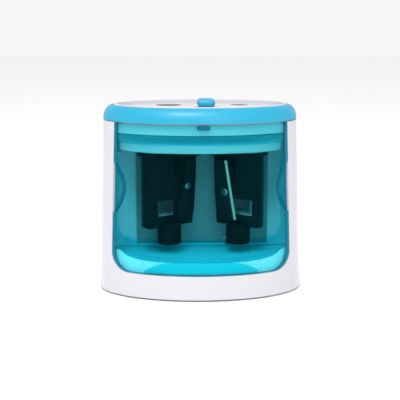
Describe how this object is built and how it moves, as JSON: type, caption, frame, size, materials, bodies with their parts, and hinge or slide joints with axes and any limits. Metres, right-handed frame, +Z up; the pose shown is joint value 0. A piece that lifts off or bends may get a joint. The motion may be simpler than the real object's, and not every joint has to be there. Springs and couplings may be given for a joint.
{
  "type": "electric pencil sharpener",
  "caption": "Desktop battery pencil sharpener with a large and a small pencil hole, turning cutters and a translucent slide-out shavings drawer.",
  "frame": {"origin": "centre of the elliptical footprint at the underside of the feet", "axes": "+Z up, -Y towards the drawer front, +X to the right seen from the front"},
  "size_m": [0.098, 0.064, 0.092],
  "materials": {
    "white_shell": "gloss white moulded plastic",
    "blue_gloss": "gloss sky-blue moulded plastic",
    "teal_clear": "translucent teal moulded plastic",
    "black_plastic": "black moulded plastic, slightly glossy",
    "grey_plastic": "grey moulded plastic",
    "gear_plastic": "natural acetal",
    "brass": "turned brass",
    "rubber_feet": "matt rubber",
    "cell_wrap": "plain printed sleeve",
    "blade_steel": "ground steel",
    "motor_steel": "drawn steel",
    "bright_steel": "zinc-plated steel"
  },
  "bodies": {
    "housing": {"outer_shell": "white_shell", "front_bezel": "blue_gloss", "top_cover": "white_shell", "guide_plate": "white_shell", "gear_deck": "white_shell", "apron": "white_shell", "chamber_wall": "white_shell", "base_plate": "white_shell", "battery_tray": "white_shell", "cell_1": "cell_wrap", "cell_2": "cell_wrap", "cell_3": "cell_wrap", "spring_1": "bright_steel", "spring_2": "bright_steel", "spring_3": "bright_steel", "contact_plate_1": "bright_steel", "contact_plate_2": "bright_steel", "contact_plate_3": "bright_steel", "contact_plate_4": "bright_steel", "foot_1": "rubber_feet", "foot_2": "rubber_feet", "foot_3": "rubber_feet", "foot_4": "rubber_feet", "base_screw_1": "bright_steel", "base_screw_2": "bright_steel", "base_screw_3": "bright_steel", "base_screw_4": "bright_steel", "guide_screw_1": "bright_steel", "guide_screw_2": "bright_steel", "deck_screw_1": "bright_steel", "deck_screw_2": "bright_steel", "deck_screw_3": "bright_steel", "motor_screw_1": "bright_steel", "motor_screw_2": "bright_steel", "motor_can": "motor_steel", "motor_end_cap": "black_plastic", "motor_bracket": "grey_plastic", "idler_axle": "bright_steel", "cutter_bearing_left": "brass", "cutter_bearing_right": "brass", "safety_switch": "black_plastic"},
    "drawer": {"drawer": "teal_clear"},
    "selector": {"selector_knob": "blue_gloss", "shutter": "black_plastic"},
    "left_cutter": {"cutter_carrier_left": "black_plastic", "cutter_gear_left": "gear_plastic", "blade_left": "blade_steel", "blade_screw_left": "bright_steel", "retaining_ring_left": "bright_steel"},
    "right_cutter": {"cutter_carrier_right": "black_plastic", "cutter_gear_right": "gear_plastic", "blade_right": "blade_steel", "blade_screw_right": "bright_steel", "retaining_ring_right": "bright_steel"},
    "idler": {"compound_gear": "gear_plastic"},
    "rotor": {"motor_shaft": "motor_steel", "motor_pinion": "brass"},
    "door": {"battery_door": "white_shell"},
    "plunger": {"switch_plunger": "grey_plastic"}
  },
  "joints": [
    {"name": "drawer_slide", "type": "slide", "parent": "housing", "child": "drawer", "axis": [0, -1, 0], "range_m": [0, 0.05]},
    {"name": "selector_slide", "type": "slide", "parent": "housing", "child": "selector", "axis": [1, 0, 0], "range_m": [-0.004, 0.004]},
    {"name": "left_cutter_spin", "type": "hinge", "parent": "housing", "child": "left_cutter", "pos_m": [-0.015, -0.005, 0.07], "axis": [0, 0, 1], "continuous": true},
    {"name": "right_cutter_spin", "type": "hinge", "parent": "housing", "child": "right_cutter", "pos_m": [0.0183, -0.005, 0.07], "axis": [0, 0, 1], "continuous": true},
    {"name": "idler_spin", "type": "hinge", "parent": "housing", "child": "idler", "pos_m": [-0.00375, 0.01449, 0.07], "axis": [0, 0, 1], "continuous": true},
    {"name": "motor_spin", "type": "hinge", "parent": "housing", "child": "rotor", "pos_m": [0.00793, 0.01894, 0.07], "axis": [0, 0, 1], "continuous": true},
    {"name": "battery_door_tilt", "type": "hinge", "parent": "housing", "child": "door", "pos_m": [0, 0.0206, 0.00137], "axis": [1, 0, 0], "range_deg": [0, 90]},
    {"name": "plunger_slide", "type": "slide", "parent": "housing", "child": "plunger", "axis": [0, -1, 0], "range_m": [0, 0.0013]}
  ],
  "couplings": [
    {"joint": "right_cutter_spin", "follows": "left_cutter_spin", "ratio": -1.0556},
    {"joint": "idler_spin", "follows": "left_cutter_spin", "ratio": -3.1667},
    {"joint": "motor_spin", "follows": "left_cutter_spin", "ratio": 12.667},
    {"joint": "plunger_slide", "follows": "drawer_slide", "ratio": 0.024}
  ]
}
